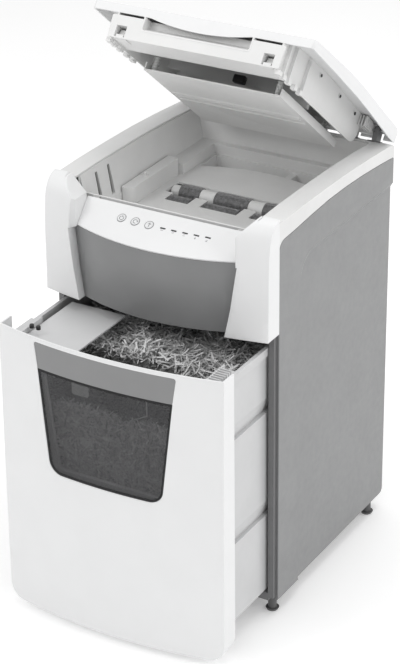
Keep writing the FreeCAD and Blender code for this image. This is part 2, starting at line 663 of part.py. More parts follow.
def feed_shaft(y, planes, sleeve_radius, end_radius):
    """A moulded feed shaft: pale sleeves beside the rubber bands, and a pulley on its right end."""
    gaps = [(FEED_BANDS[0][1], FEED_BANDS[1][0]), (FEED_BANDS[1][1], FEED_BANDS[2][0])]
    ends = [(-110.0, FEED_BANDS[0][0]), (FEED_BANDS[2][1], 110.0)]
    sleeves = [cross_rod(gap, y, FEED_Z, sleeve_radius) for gap in gaps]
    sleeves += [cross_rod(end, y, FEED_Z, end_radius) for end in ends]
    core = cross_rod((-PLATE_X - PLATE_THICK - 4, planes[1]), y, FEED_Z, FEED_SHAFT_RADIUS)
    return fuse([core, cross_rod(planes, y, FEED_Z, PULLEY_RADIUS)] + sleeves)


def motor_body():
    """The motor can, with a flange on the left side plate and a ribbed end cap."""
    can = cross_rod((-106.0, 40.0), MOTOR_Y, CUTTER_Z, MOTOR_RADIUS)
    flange = cross_rod((-PLATE_X, -106.0), MOTOR_Y, CUTTER_Z, 26.0)
    cap = cross_rod((40.0, 54.0), MOTOR_Y, CUTTER_Z, 24.0)
    return fuse([can, flange, cap]).cut(cross_rod((-120.0, -40.0), MOTOR_Y, CUTTER_Z, 5.05))


def mains_board():
    """The mains board in the right rear of the head, with its larger components."""
    plate = box((130.0, 182.0), (70.0, 180.0), (514.0, 515.6))
    can = [rod((145.0, y, 515.6), (0, 0, 1), 24.0, 8.0) for y in (85.0, 104.0)]
    blocks = [box((158, 178), (76, 96), (515.6, 531)), box((135, 165), (120, 145), (515.6, 540)),
              box((140, 176), (155, 172), (515.6, 528))]
    feet_low = [rod((x, y, HEAD_Z + WALL), (0, 0, 1), 514.0 - HEAD_Z - WALL, 3.0) for x in (134, 178)
        for y in (74, 176)]
    return fuse([plate] + can + blocks + feet_low)


# ---------------------------------------------------------------- rear fittings

ROCKER_PIN = (REAR_Y - 4, 75.0)


def power_inlet():
    """The mains inlet in the rear, open towards the back, with its three pins."""
    flange = box((109.0, 150.0), (REAR_Y, REAR_Y + 2), (62.0, 88.0))
    body = box((111.0, 139.0), (REAR_Y - 20, REAR_Y), (64.0, 86.0))
    hole = prism([(113.0, 67.0), (137.0, 67.0), (137.0, 79.0), (132.0, 83.5), (118.0, 83.5), (113.0, 79.0)],
        "y",
                 (REAR_Y - 17, REAR_Y + 3))
    pins = [box((x - 1, x + 1), (REAR_Y - 18, REAR_Y - 4), (z - 2, z + 2))
        for x, z in ((118, 73), (132, 73), (125, 77.5))]
    return fuse([fuse([flange, body]).cut(hole)] + pins)


def switch_housing():
    flange = box((149.0, 167.0), (REAR_Y, REAR_Y + 2), (62.0, 88.0))
    body = box((151.0, 165.0), (REAR_Y - 16, REAR_Y), (64.0, 86.0))
    hole = box((152.5, 163.5), (REAR_Y - 13, REAR_Y + 3), (65.5, 84.5))
    return fuse([flange, body]).cut(hole).cut(cross_rod((151.4, 164.6), *ROCKER_PIN, 1.6))


def power_rocker():
    """The rocker of the mains switch, tilted on, with a stub pin each side."""
    body = prism([(REAR_Y + 2.5, 67.0), (REAR_Y - 4, 67.5), (REAR_Y - 9, 75.0), (REAR_Y - 4, 82.5),
        (REAR_Y + 2.5, 83.0),
                  (REAR_Y + 0.8, 75.0)], "x", (153.0, 163.0))
    body.rotate(V(158, *ROCKER_PIN), V(1, 0, 0), -8.0)
    return body.fuse(cross_rod((151.6, 164.4), *ROCKER_PIN, 1.5))


def drawer_rail():
    """The right-hand rail under the tub: a channel that the tub's slide runs in."""
    bounds = (FRONT_Y + 6, 160.0)
    rail = box((RAIL_X - 9, RAIL_X + 9), bounds, (CABINET_BOTTOM + 3.3, 45.4))
    return rail.cut(box((RAIL_X - 6.3, RAIL_X + 6.3), (-180.0, 156.0), (42.2, 46.0)))


def bin_switch():
    """The switch at the back that the shut bin presses."""
    body = box((60.0, 74.0), (186.0, REAR_Y - WALL), (330.0, 352.0))
    lever = prism([(167.4, 334.0), (186.0, 348.0), (186.0, 350.0), (167.0, 335.5)], "x", (64.0, 70.0))
    return fuse([body, lever])


def cover_screws():
    """Screws in the rear panel: pan heads with shanks."""
    return [fuse([rod((x, REAR_Y + 2, z), (0, -1, 0), 2, 4.0),
        rod((x, REAR_Y, z), (0, -1, 0), WALL + 6, 1.8)])
            for x, z in SCREW_PLACES]


# ---------------------------------------------------------------- lid

def hinge_bracket(x):
    """An ear on the rear of the trim, with a foot on its slope, that holds the hinge pin."""
    corners = [(201.0, 660.0), (214.0, 660.0), (224.0, 677.0), (214.0, 690.0), (207.0, 684.0), (201.0, 672.0)]
    ear = prism(corners, "x", (x - 4, x + 4), [0, 4, 0, 0, 0, 2])
    foot = prism([(201.0, 660.0), (210.6, 660.0), (210.6, 669.4), (201.0, 673.4)], "x", (x - 11, x + 11))
    bracket = fuse([ear, foot, cross_rod((x - 4, x + 4), PIN_Y, PIN_Z, 8.0)])
    bracket = bracket.cut(cross_rod((x - 5, x + 5), PIN_Y, PIN_Z, 3.5))
    behind = box((-250, 250), (200.0, REAR_Y + 2.2), (600, 666.8))
    return largest(bracket.cut(ridge_block(-0.15, (-200, 200))).cut(behind))


def hinge_pins():
    return both(cross_rod((116.0, 176.0), PIN_Y, PIN_Z, 3.5))


LID_TOP = [(COVER_FRONT, 702.8), (-52.0, 706.0), (40.0, 706.5), (135.0, 701.5), (205.0, 698.0)]
LID_SKIRT = [(COVER_FRONT, 689.0), (-40.0, 687.5), (51.0, 685.0), (134.0, 680.0), (204.0, 674.0)]


def lid_cover():
    """The white outer cover: a shallow crowned skin with a skirt round it."""
    def solid(inset):
        line = [(y, z - inset) for y, z in LID_TOP]
        rear = [(228.0 - inset, 696.8 - inset), (233.0 - inset, 690.0 - inset), (233.0 - inset, 665.0),
            (COVER_FRONT, 665.0)]
        half = COVER_HALF - inset
        block = swept_face(line, rear).extrude(V(2 * half, 0, 0))
        block.translate(V(-half, 0, 0))
        front = COVER_FRONT + inset
        plan = [(-half, front), (half, front), (half, 240.0), (-half, 240.0)]
        return block.common(prism(plan, "z", (600.0, 720.0), [5.0 - inset, 5.0 - inset, 0, 0]))

    under = [(COVER_FRONT - 1, 600.0), (COVER_FRONT - 1, LID_SKIRT[0][1])] + LID_SKIRT[1:] + [(240.0,
        674.0), (240.0, 600.0)]
    cover = solid(0.0).cut(prism(under, "x", (-200, 200))).cut(solid(COVER_SKIN))
    arc = [V(-91, COVER_FRONT, 690.0), V(0, COVER_FRONT, 679.5), V(91, COVER_FRONT, 690.0)]
    droop = Part.Face(Part.Wire([Part.Arc(*arc).toShape(), Part.LineSegment(arc[2], arc[0]).toShape()]))
    ends = [box((x - 6.5, x + 6.5), (195.0, 240.0), (650.0, PIN_Z + 1)) for x in HINGE_X]
    slot = box((-112, 112), (PRESS_SLOT_Y - FEED_SLOT_HALF, PRESS_SLOT_Y + FEED_SLOT_HALF), (680, 710))
    return largest(fuse([cover, droop.extrude(V(0, 2.4, 0))]).cut(slot).cut(fuse(ends)))


def lid_frame():
    """The inner frame: side walls, a box behind the latch plate, ribs, the feed chute and knuckles."""
    top = 706.0
    half, wall = LID_BOX_HALF, 2.6
    front = LATCH_FRONT + 3.2
    corners = [(front, top), (front, LID_BOX_LOW), (LID_BOX_REAR, LID_BOX_LOW), (LID_BOX_REAR, top)]
    side = prism(corners, "x", (half - wall, half), [0, 0, 24.0, 6.0])
    low, back = LATCH_BOX_LOW, LATCH_BOX_REAR
    shell = [(front, low), (back + wall, low), (back + wall, top), (back, top), (back, low + wall),
        (front, low + wall)]
    latch_box = prism(shell, "x", (-half, half), [0, 7.0, 0, 0, 4.4, 0])
    latch_box = latch_box.cut(fuse([box((x - 12, x + 12), (front - 5, -126.8), (640, 672))
        for x in (-LATCH_X, LATCH_X)]))
    ceiling = box((-half, half), (back + 1, PRESS_FRONT - 4), (CEILING_Z, CEILING_Z + 2))
    rear = box((-half, half), (LID_BOX_REAR - wall, LID_BOX_REAR), (LID_BOX_LOW + 24, top))
    ribs = [box((-half, half), (y, y + 2), (668.0, top))
        for y in (PRESS_FRONT - 4, -21.0, 76.0, 110.0, 145.0)]
    seats = [rod((x, y, SPRING_TOP + 0.1), (0, 0, 1), 20.0, 7.0) for x in (-POST_X, POST_X) for y in POST_Y]
    chute = box((-116, 116), (PRESS_SLOT_Y - 4, PRESS_SLOT_Y + 4), (650.0, top)).cut(
        box((-112, 112), (PRESS_SLOT_Y - FEED_SLOT_HALF, PRESS_SLOT_Y + FEED_SLOT_HALF), (640, 710)))
    ties = [box((-half, half), (PRESS_SLOT_Y + d, PRESS_SLOT_Y + d + 2), (672.0, top)) for d in (-4, 2)]
    right = [box((half, half + 6), (y, y + 4), (LID_BOX_LOW + 3, 697.0)) for y in (-130.0, -108.0, -54.0)]
    right += [box((half - 1, half + 6.5), (y, y + 11), (LID_BOX_LOW - 4, LID_BOX_LOW + 3))
        for y in (-146.0, -128.0, -108.0, -84.0, -62.0)]
    right += [cross_rod((half, half + 1.6), y, z, 4.0) for y, z in SIDE_SCREWS]
    right += [box((half + 1 + 5 * i, half + 3 + 5 * i), (178.0, 206.0), (677.0, 694.0)) for i in range(3)]
    knuckle = fuse([cross_rod((131, 157), PIN_Y, PIN_Z, 8.0),
        box((131, 157), (186.0, PIN_Y), (680.0, 690.0))])
    right.append(knuckle.cut(cross_rod((129, 159), PIN_Y, PIN_Z, 3.53)))
    body = fuse([side, mirrored(side), latch_box, ceiling, rear,
        chute] + ribs + seats + ties + right + [mirrored(r) for r in right])
    return body.cut(lid_skin_space())


def lid_skin_space():
    """What the cover's skin takes up above the frame."""
    drop = COVER_SKIN + 0.3
    line = [(y, z - drop) for y, z in LID_TOP]
    ahead = COVER_FRONT - 8
    face = swept_face(line, [(260.0, 693.6), (260.0, 740.0), (ahead, 740.0), (ahead, line[0][1])])
    skirt = box((-200, 200), (ahead, COVER_FRONT + drop), (LID_SKIRT[0][1] - 0.4, 740.0))
    return face.extrude(V(400, 0, 0)).translated(V(-200, 0, 0)).fuse(skirt)


def latch_frame():
    """The front of the lid's underside: a plate with two latch windows and a finger recess between them."""
    front, back = LATCH_FRONT, LATCH_FRONT + 3.0
    half = 147.0
    plate = prism([(-half, 648.0), (half, 648.0), (half + 2, 684.0), (-half - 2, 684.0)], "y",
        (front, back), 2.0)
    recess = prism([(-92.0, 667.0), (92.0, 667.0), (92.0, 690.0), (-92.0, 690.0)], "y", (front - 1, -124.0),
        [4, 4, 0, 0])
    pocket = prism([(-94.5, 664.5), (94.5, 664.5), (94.5, 687.5), (-94.5, 687.5)], "y",
        (front - 0.4, front + 25.0), [6, 6, 0, 0])
    hollow = prism([(front - 2, 667.0), (front + 3, 667.0), (-130.0, 676.0), (-130.0, 700.0),
        (front - 2, 700.0)], "x", (-92, 92))
    windows = [box((x - 9, x + 9), (front - 1, back + 1), (LATCH_Z - 9, LATCH_Z + 9))
        for x in (-LATCH_X, LATCH_X)]
    sockets = [box((x - 11.5, x + 11.5), (back, -127.2), (LATCH_Z - 11.5, LATCH_Z + 11.5)).cut(
        box((x - 9, x + 9), (back - 1, -126.0), (LATCH_Z - 9, LATCH_Z + 9))) for x in (-LATCH_X, LATCH_X)]
    frame = plate.cut(recess).fuse(pocket.cut(hollow))
    return frame.cut(fuse(windows)).fuse(sockets).removeSplitter()


def latch_tongues():
    """The two locking tongues, whose flat noses slide into holes in the tray's front wall."""
    profile = [(-148.5, 650.5), (-148.5, 654.3), (-141.0, 654.6), (-137.0, 665.0), (-129.0, 665.0),
        (-129.0, 650.5)]
    return [prism(profile, "x", (x - 6.5, x + 6.5)) for x in (-LATCH_X, LATCH_X)]


def press_plate():
    """The plate over the feed rollers: a sheet with rims, a lipped slit and a post at each corner."""
    sheet = box((-PRESS_HALF, PRESS_HALF), (PRESS_FRONT, PRESS_REAR), (PRESS_Z - 2.5, PRESS_Z))
    slit = box((-112, 112), (PRESS_SLOT_Y - FEED_SLOT_HALF, PRESS_SLOT_Y + FEED_SLOT_HALF), (600, 700))
    lips = [box((-112, 112), (PRESS_SLOT_Y + d, PRESS_SLOT_Y + d + 1.6), (PRESS_Z - 4.4, PRESS_Z))
        for d in (-13.0, -3.6, 16.0)]
    rims = [box((x, x + 2), (PRESS_FRONT, PRESS_REAR), (PRESS_Z - 2.5, PRESS_Z + 10.5))
        for x in (-PRESS_HALF, PRESS_HALF - 2)]
    rear = box((-PRESS_HALF, PRESS_HALF), (PRESS_REAR - 2, PRESS_REAR), (PRESS_Z - 2.5, PRESS_Z + 9))
    posts = [rod((x, y, PRESS_Z - 1), (0, 0, 1), 24.0, 4.0) for x in (-POST_X, POST_X) for y in POST_Y]
    return fuse([sheet.cut(slit), rear] + lips + rims + posts)


def spring(x, y):
    """A coil spring round a post, drawn as a plain sleeve of its outer size."""
    sleeve = rod((x, y, PRESS_Z + 0.2), (0, 0, 1), SPRING_TOP - PRESS_Z - 0.2, 6.5)
    return sleeve.cut(rod((x, y, PRESS_Z), (0, 0, 1), 36.0, 4.6))


def lid_screws():
    """The dark screws in the frame's side walls."""
    half = LID_BOX_HALF
    right = [cross_rod((half + 1.7, half + 2.7), y, z, 2.6) for y, z in SIDE_SCREWS]
    return right + [mirrored(head) for head in right]


# ---------------------------------------------------------------- bin

BIN_LINE = [(-232.0, BIN_BOTTOM), (-231.0, 180.0), (-229.5, 350.0), (-227.0, BIN_TOP)]


def bin_cover_solid(inset):
    """The bowed bin front as a block, less an inset all round."""
    line = [(y + inset, z) for y, z in BIN_LINE]
    line[0] = (line[0][0], BIN_BOTTOM - 5)
    line[-1] = (line[-1][0], BIN_TOP + 5)
    block = bowed(swept_face(line, [(-150.0, BIN_TOP + 5), (-150.0, BIN_BOTTOM - 5)]))
    half = HALF_WIDTH - inset
    edge = prism([(-half, BIN_BOTTOM + inset), (half, BIN_BOTTOM + inset), (half, BIN_TOP - inset),
        (-half, BIN_TOP - inset)],
                 "y", (-250.0, PILLAR_REAR + (3 if inset else 0)), [26.0 - inset, 26.0 - inset, 0, 0])
    return block.common(edge)


def bin_front():
    """The white bin front: a bowed shell with skirts and a hole for the band and window."""
    cover = bin_cover_solid(0.0).cut(bin_cover_solid(WALL))
    open_top = bin_cover_solid(WALL)
    open_top.translate(V(0, 0, WALL + 1))
    cover = cover.cut(open_top)
    cover = cover.cut(through_front(grown(WINDOW, 0.5), WINDOW_RADII)).cut(
        through_front(BAND_HOLE, [0, 0, 4, 4]))
    ribs = [box((x - 1.5, x + 1.5), (-221.0, -200.2), (60.0, 470.0)) for x in (-150.0, 150.0)]
    return fuse([cover] + [rib.common(bin_cover_solid(1.0)) for rib in ribs])


def bin_skin(shape, sink, thickness):
    """The part of a straight shape in a sheet that follows the bin front's bow, below its face."""
    return bin_cover_solid(sink).cut(bin_cover_solid(sink + thickness)).common(shape)


WINDOW_RADII = [24, 24, 0, 0]
GLASS_RADII = [20.5, 20.5, 2, 2]


def through_front(corners, radii):
    return prism(corners, "y", (-250.0, -195.0), radii)


def bin_band():
    return bin_skin(through_front(BAND, [0, 0, 3.5, 3.5]), 0.4, 2.4)


def window_gasket():
    inner = through_front(grown(WINDOW, -3.4), GLASS_RADII)
    return bin_skin(through_front(grown(WINDOW, 0.1), WINDOW_RADII).cut(inner), 0.6, 2.2)


def bin_window():
    return bin_skin(through_front(grown(WINDOW, -3.6), GLASS_RADII), 1.0, 2.0)


def tub_section(inset):
    """The tub across: straight sides, each stepped in twice by a slope with a ledge under it."""
    half, low = TUB_HALF - inset, TUB_BOTTOM + inset
    right = [(half, low)]
    for z in TUB_STEPS:
        right += [(half, z - inset), (half - TUB_STEP_IN, z - inset), (half, z - inset + TUB_STEP_RISE)]
    right += [(half, TUB_TOP + (1 if inset else 0))]
    return [(-x, z) for x, z in reversed(right)] + right


def bin_tub():
    """The bin itself: a light gray tub with stepped sides, a rim, and an opening behind the window."""
    tub = prism(tub_section(0.0), "y", (TUB_FRONT, TUB_REAR))
    rim = box((-TUB_HALF - 3.5, TUB_HALF + 3.5), (-168.0, TUB_REAR), (TUB_TOP - 14, TUB_TOP))
    inner = prism(tub_section(WALL), "y", (TUB_FRONT + 4, TUB_REAR - WALL))
    hole = prism([(-100, 268), (100, 268), (125, 458), (-125, 458)], "y", (-230, -180), 8.0)
    front = box((-180.5, 180.5), (-200.0, TUB_FRONT), (TUB_BOTTOM, TUB_TOP + 6))
    front = front.cut(box((-157, 157), (-205.0, TUB_FRONT + 1), (TUB_TOP, TUB_TOP + 7)))
    shell = fuse([tub, rim]).cut(inner)
    return fuse([shell, front]).cut(hole)


def rim_plate():
    """The flat plate on the left of the bin's rim."""
    return box((-158.0, -60.0), (TUB_FRONT + 0.2, -60.0), (TUB_TOP + 0.1, TUB_TOP + 2.6))


def rim_brackets():
    """The arms that tie the bin front to the tub's rim: ribbed on the right, plain on the left."""
    def base(side):
        x = sorted((side * 160.0, side * 181.5))
        wall = box(sorted((side * 160.0, side * 162.5)), (TUB_FRONT + 0.2, -140.0),
            (TUB_TOP + 3, TUB_TOP + 11))
        return fuse([box(x, (TUB_FRONT + 0.2, -140.0), (TUB_TOP + 0.1, TUB_TOP + 4)), wall])
    ribs = [box((160.0, 181.5), (-194.0 + i * 6.5, -192.0 + i * 6.5), (TUB_TOP + 3, TUB_TOP + 12))
        for i in range(7)]
    return [fuse([base(1)] + ribs), base(-1)]


def bag_wire():
    """The bent wire behind the window that holds a bag's edge."""
    points = [V(64, -203.5, 470), V(64, -203.5, 408), V(34, -203.5, 392)]
    legs = [Part.makeCylinder(1.2, (b - a).Length, a, b - a) for a, b in zip(points, points[1:])]
    return fuse(legs + [Part.makeSphere(1.2, points[1]), Part.makeSphere(1.2, points[0])])


def window_tab():
    return prism([(-68, 412), (-38, 412), (-38, 456), (-68, 456)], "y", (-204.5, -202.5), [4, 4, 1, 1])


def bin_runner():
    """The right-hand slide under the tub."""
    return box((RAIL_X - 6, RAIL_X + 6), (-160.0, 150.0), (42.5, TUB_BOTTOM))


# ---------------------------------------------------------------- build

def build_cabinet():
    panel = side_panel()
    save("right_side_panel", panel)
    save("left_side_panel", mirrored(panel))
    save("rear_panel", rear_panel())
    save("base_frame", fuse([base_pan(), front_frame()]))
    corner = pillar()
    save("right_pillar", corner)
    save("left_pillar", mirrored(corner))
    save("front_panel", front_panel())
    save("control_panel", control_panel())
    save("indicator_lenses", *indicator_lenses())
    save("control_board", control_board())
    save("top_trim", top_trim())
    save("paper_tray", *tray_mouldings(fuse([paper_tray(), tray_pockets()])))
    save("guide_block", guide_block())
    save("feet", *feet())
    save("power_inlet", fuse([power_inlet(), switch_housing()]))
    save("power_rocker", power_rocker())
    save("drawer_rails", both(drawer_rail()))
    save("bin_switch", bin_switch())
    save("rear_screws", *cover_screws())
    save("hinge_brackets", *[hinge_bracket(x) for x in HINGE_X])
    save("hinge_pins", hinge_pins())
    for name, x in BUTTON_X.items():
        save(name, button(x))


def build_head():
    save("head_plate", head_plate())
    idler_pin = cross_rod((-157.5, -PLATE_X), IDLER_Y, CUTTER_Z, 4.0)
    save("cutter_plates", fuse([cutter_plate(-1), idler_pin]), cutter_plate(1))
    save("cutter_bearings", *cutter_bearings())
    save("tie_rods", *tie_rods())
    save("motor_body", motor_body())
    save("mains_board", mains_board())
    combs, belts = [], []
    half = CUTTER_PITCH / 4
    for name, y, side, offset in (("front", CUTTER_FRONT_Y, -1, -half), ("rear", CUTTER_REAR_Y, 1, half)):
        planes = BELT_PLANES[name]
        left = GEAR_PLANES["sync"][0] if name == "front" else GEAR_PLANES["first"][0]
        save(f"cutter_shaft_{name}", cross_rod((left, planes[0]), y, CUTTER_Z, SHAFT_RADIUS),
            pulley(y, CUTTER_Z, planes))
        save(f"cutter_drum_{name}", cutter_drum(y, offset))
        combs.append(stripper_comb(y, side, offset))
        belts.append(belt(y, planes))
        band_radius, sleeve_radius, end_radius = (12.6, 5.5, 5.5) if name == "front" else (15.0, 13.6, 11.5)
        save(f"feed_shaft_{name}", feed_shaft(y, planes, sleeve_radius, end_radius))
        save(f"feed_bands_{name}", *feed_bands(y, band_radius))
        save(f"sync_gear_{name}", gear(20, 2.0, GEAR_PLANES["sync"], y, CUTTER_Z, SHAFT_RADIUS,
                                       0.5 if name == "front" else 0.0))
    save("stripper_combs", *combs)
    save("feed_belts", *belts)
    save("driven_gear", gear(30, 1.5, GEAR_PLANES["first"], CUTTER_REAR_Y, CUTTER_Z, SHAFT_RADIUS, 0.0))
    small = gear(12, 1.5, GEAR_PLANES["first"], IDLER_Y, CUTTER_Z, 4.04, 0.5)
    large = gear(36, 1.25, GEAR_PLANES["second"], IDLER_Y, CUTTER_Z, 4.04, 0.0)
    hub = cross_rod((GEAR_PLANES["second"][1], GEAR_PLANES["first"][0]), IDLER_Y, CUTTER_Z, 6.5)
    save("idler_gear", fuse([small, large, hub.cut(cross_rod((-160, -130), IDLER_Y, CUTTER_Z, 4.04))]))
    pinion = gear(12, 1.25, GEAR_PLANES["second"], MOTOR_Y, CUTTER_Z, 4.0, 0.5)
    save("motor_shaft", fuse([pinion, cross_rod((GEAR_PLANES["second"][0], -45.0), MOTOR_Y, CUTTER_Z, 5.0)]))


def build_lid():
    save("lid_cover", opened(lid_cover()))
    save("lid_frame", opened(lid_frame()))
    save("latch_frame", opened(latch_frame()))
    save("latch_tongues", *[opened(tongue) for tongue in latch_tongues()])
    save("press_plate", opened(press_plate()))
    save("press_springs", *[opened(spring(x, y)) for x in (-POST_X, POST_X) for y in POST_Y])
    save("lid_screws", *[opened(screw) for screw in lid_screws()])


def build_bin():
    save("bin_front", pulled(bin_front()))
    save("bin_band", pulled(bin_band()))
    save("bin_window", pulled(bin_window()))
    save("window_gasket", pulled(window_gasket()))
    save("bin_tub", pulled(bin_tub()))
    save("rim_fittings", pulled(rim_plate()), *[pulled(bracket) for bracket in rim_brackets()])
    save("bag_holder", pulled(bag_wire()), pulled(window_tab()))
    save("bin_runners", pulled(both(bin_runner())))


os.makedirs("parts", exist_ok=True)
build_cabinet()
build_head()
build_lid()
build_bin()
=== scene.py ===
"""Looks for the paper shredder: materials, small pieces, shredded paper, a plain floor, light and the camera.

Metres, unless a name or a comment says millimetres.
"""

import json
import math
import random

import bmesh
import bpy
from mathutils import Matrix, Vector


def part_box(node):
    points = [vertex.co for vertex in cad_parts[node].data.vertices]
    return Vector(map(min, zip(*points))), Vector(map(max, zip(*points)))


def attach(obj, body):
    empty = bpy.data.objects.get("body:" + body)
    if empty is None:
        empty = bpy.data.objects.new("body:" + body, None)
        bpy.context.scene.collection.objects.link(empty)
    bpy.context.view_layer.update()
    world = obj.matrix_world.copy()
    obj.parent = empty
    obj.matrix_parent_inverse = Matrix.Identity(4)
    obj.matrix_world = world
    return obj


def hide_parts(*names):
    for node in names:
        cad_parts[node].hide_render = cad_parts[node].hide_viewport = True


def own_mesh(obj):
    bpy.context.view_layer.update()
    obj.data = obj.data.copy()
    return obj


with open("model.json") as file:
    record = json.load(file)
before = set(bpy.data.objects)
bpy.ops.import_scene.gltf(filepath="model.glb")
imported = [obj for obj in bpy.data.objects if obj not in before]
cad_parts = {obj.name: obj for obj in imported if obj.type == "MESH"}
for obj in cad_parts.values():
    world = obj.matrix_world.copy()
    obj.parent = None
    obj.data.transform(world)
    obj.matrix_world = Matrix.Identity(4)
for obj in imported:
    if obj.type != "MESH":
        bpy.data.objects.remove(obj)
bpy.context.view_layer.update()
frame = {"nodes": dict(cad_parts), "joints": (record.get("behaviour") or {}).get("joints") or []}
NODES = frame["nodes"]
JOINTS = {joint["name"]: joint for joint in frame["joints"]}
RNG = random.Random(11)
MM = 0.001

# The lid's own axes as it stands open: across, from its front edge to its pin, and out of its top.
LID_PIN = Vector(JOINTS["lid_hinge"]["pos_m"])
BACK = LID_PIN.y - 0.218      # the CAD drawing's middle, behind the frame's origin
LID_ANGLE = math.radians(JOINTS["lid_hinge"]["range_deg"][1])
LID_TURN = Matrix.Rotation(-LID_ANGLE, 4, "X")
BIN_OUT = -JOINTS["bin_slide"]["range_m"][0]


# ---------------------------------------------------------------- materials

class Surface:
    """A procedural material on the Principled shader, built up a layer at a time."""

    def __init__(self, name, colour, rough, metallic=0.0, specular=0.5):
        self.material = bpy.data.materials.new(name)
        self.material.use_nodes = True
        self.tree = self.material.node_tree
        self.shader = self.tree.nodes["Principled BSDF"]
        self.shader.inputs["Metallic"].default_value = metallic
        self.shader.inputs["Specular IOR Level"].default_value = specular
        self.place = self.node("ShaderNodeTexCoord").outputs["Object"]
        self.colour = colour
        self.rough = rough
        self.shader.inputs["Base Color"].default_value = (*colour, 1)
        self.shader.inputs["Roughness"].default_value = rough

    def node(self, kind, **settings):
        made = self.tree.nodes.new(kind)
        for key, value in settings.items():
            setattr(made, key, value)
        return made

    def link(self, source, target):
        self.tree.links.new(source, target)

    def noise(self, size, detail=3.0, stretch=(1, 1, 1)):
        """Noise whose features are about size metres across, stretched along an axis."""
        place = self.node("ShaderNodeMapping")
        place.inputs["Scale"].default_value = [1 / s for s in stretch]
        self.link(self.place, place.inputs["Vector"])
        made = self.node("ShaderNodeTexNoise")
        made.inputs["Scale"].default_value = 1 / size
        made.inputs["Detail"].default_value = detail
        self.link(place.outputs["Vector"], made.inputs["Vector"])
        return made.outputs["Fac"]

    def ramp(self, source, low, high, start=0.35, end=0.65):
        """Spreads a source between two colours or two grays."""
        made = self.node("ShaderNodeValToRGB")
        low, high = [c if isinstance(c, tuple) else (c, c, c) for c in (low, high)]
        made.color_ramp.elements[0].position = start
        made.color_ramp.elements[1].position = end
        made.color_ramp.elements[0].color = (*low, 1)
        made.color_ramp.elements[1].color = (*high, 1)
        self.link(source, made.inputs["Fac"])
        return made.outputs["Color"]

    def tint(self, source, amount, start=0.35, end=0.65):
        """Varies the base colour by a share either way."""
        low = tuple(max(0.0, c * (1 - amount)) for c in self.colour)
        high = tuple(min(1.0, c * (1 + amount)) for c in self.colour)
        self.link(self.ramp(source, low, high, start, end), self.shader.inputs["Base Color"])
        return self

    def gloss(self, source, amount):
        spread = self.ramp(source, self.rough - amount, self.rough + amount)
        self.link(spread, self.shader.inputs["Roughness"])
        return self

    def bump(self, *layers):
        """Stacks bump layers, each a (source, depth in metres) pair."""
        before = None
        for source, depth in layers:
            made = self.node("ShaderNodeBump")
            made.inputs["Distance"].default_value = depth
            made.inputs["Strength"].default_value = 1.0
            self.link(source, made.inputs["Height"])
            if before:
                self.link(before, made.inputs["Normal"])
            before = made.outputs["Normal"]
        self.link(before, self.shader.inputs["Normal"])
        return self


def moulded(name, colour, rough, grain=0.0009, depth=0.00006, tint=0.02):
    """Moulded plastic: spark-eroded grain, a faint flow mottle and uneven polish."""
    surface = Surface(name, colour, rough)
    surface.tint(surface.noise(0.06, 4.0), tint)
    surface.gloss(surface.noise(0.012, 5.0), 0.05)
    surface.bump((surface.noise(grain, 2.0), depth), (surface.noise(0.03, 2.0), depth * 2))
    return surface


def metal(name, colour, rough, along=(30, 1, 1), depth=0.00003):
    """Ground metal with lines along one axis."""
    surface = Surface(name, colour, rough, metallic=1.0)
    lines = surface.noise(0.0006, 3.0, along)
    surface.tint(surface.noise(0.01, 4.0), 0.08)
    surface.gloss(lines, 0.08)
    surface.bump((lines, depth))
    return surface


def ribbed_rubber():
    surface = Surface("ribbed_rubber", (0.17, 0.17, 0.173), 0.36, specular=0.6)
    surface.tint(surface.noise(0.004, 4.0), 0.35)
    surface.gloss(surface.noise(0.002, 4.0), 0.08)
    surface.bump((surface.noise(0.0005, 3.0), 0.00008))
    return surface


def soft_rubber():
    surface = Surface("soft_rubber", (0.02, 0.02, 0.021), 0.7, specular=0.3)
    surface.tint(surface.noise(0.003, 4.0), 0.3)
    surface.bump((surface.noise(0.0007, 3.0), 0.00006))
    return surface


def smoked():
    """Smoked clear plastic: a dark thin sheet with a polished face."""
    surface = Surface("smoked_plastic", (0.055, 0.055, 0.058), 0.12)
    surface.tint(surface.noise(0.05, 3.0), 0.12)
    surface.gloss(surface.noise(0.02, 4.0), 0.03)
    surface.bump((surface.noise(0.09, 2.0), 0.0003))
    surface.shader.inputs["Alpha"].default_value = 0.46
    return surface


def paper(name, dark, light):
    """Office paper: each shred has its own shade between two grays, some with print on them."""
    surface = Surface(name, (light, light, light), 0.85, specular=0.2)
    island = surface.node("ShaderNodeNewGeometry").outputs["Random Per Island"]
    shade = surface.ramp(island, dark, light, 0.0, 0.8)
    print_mask = surface.ramp(surface.noise(0.0022, 1.0, (1, 4, 4)), 1.0, 0.45, 0.60, 0.66)
    mix = surface.node("ShaderNodeMixRGB", blend_type="MULTIPLY")
    mix.inputs["Fac"].default_value = 0.55
    surface.link(shade, mix.inputs["Color1"])
    surface.link(print_mask, mix.inputs["Color2"])
    surface.link(mix.outputs["Color"], surface.shader.inputs["Base Color"])
    surface.bump((surface.noise(0.0008, 3.0), 0.00008))
    return surface


def paper_core():
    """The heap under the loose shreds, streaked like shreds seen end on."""
    surface = Surface("packed_paper", (0.30, 0.30, 0.297), 0.9, specular=0.15)
    surface.tint(surface.noise(0.006, 5.0, (1, 3, 1)), 0.55, 0.3, 0.7)
    surface.bump((surface.noise(0.005, 4.0, (3, 1, 1)), 0.004))
    return surface


def board():
    surface = Surface("board_lacquer", (0.02, 0.12, 0.05), 0.35)
    surface.tint(surface.noise(0.004, 2.0), 0.4)
    surface.bump((surface.noise(0.0015, 2.0), 0.00008))
    return surface


def printed(name, colour):
    surface = Surface(name, colour, 0.5)
    surface.tint(surface.noise(0.003, 3.0), 0.12)
    surface.bump((surface.noise(0.0004, 2.0), 0.00002))
    return surface


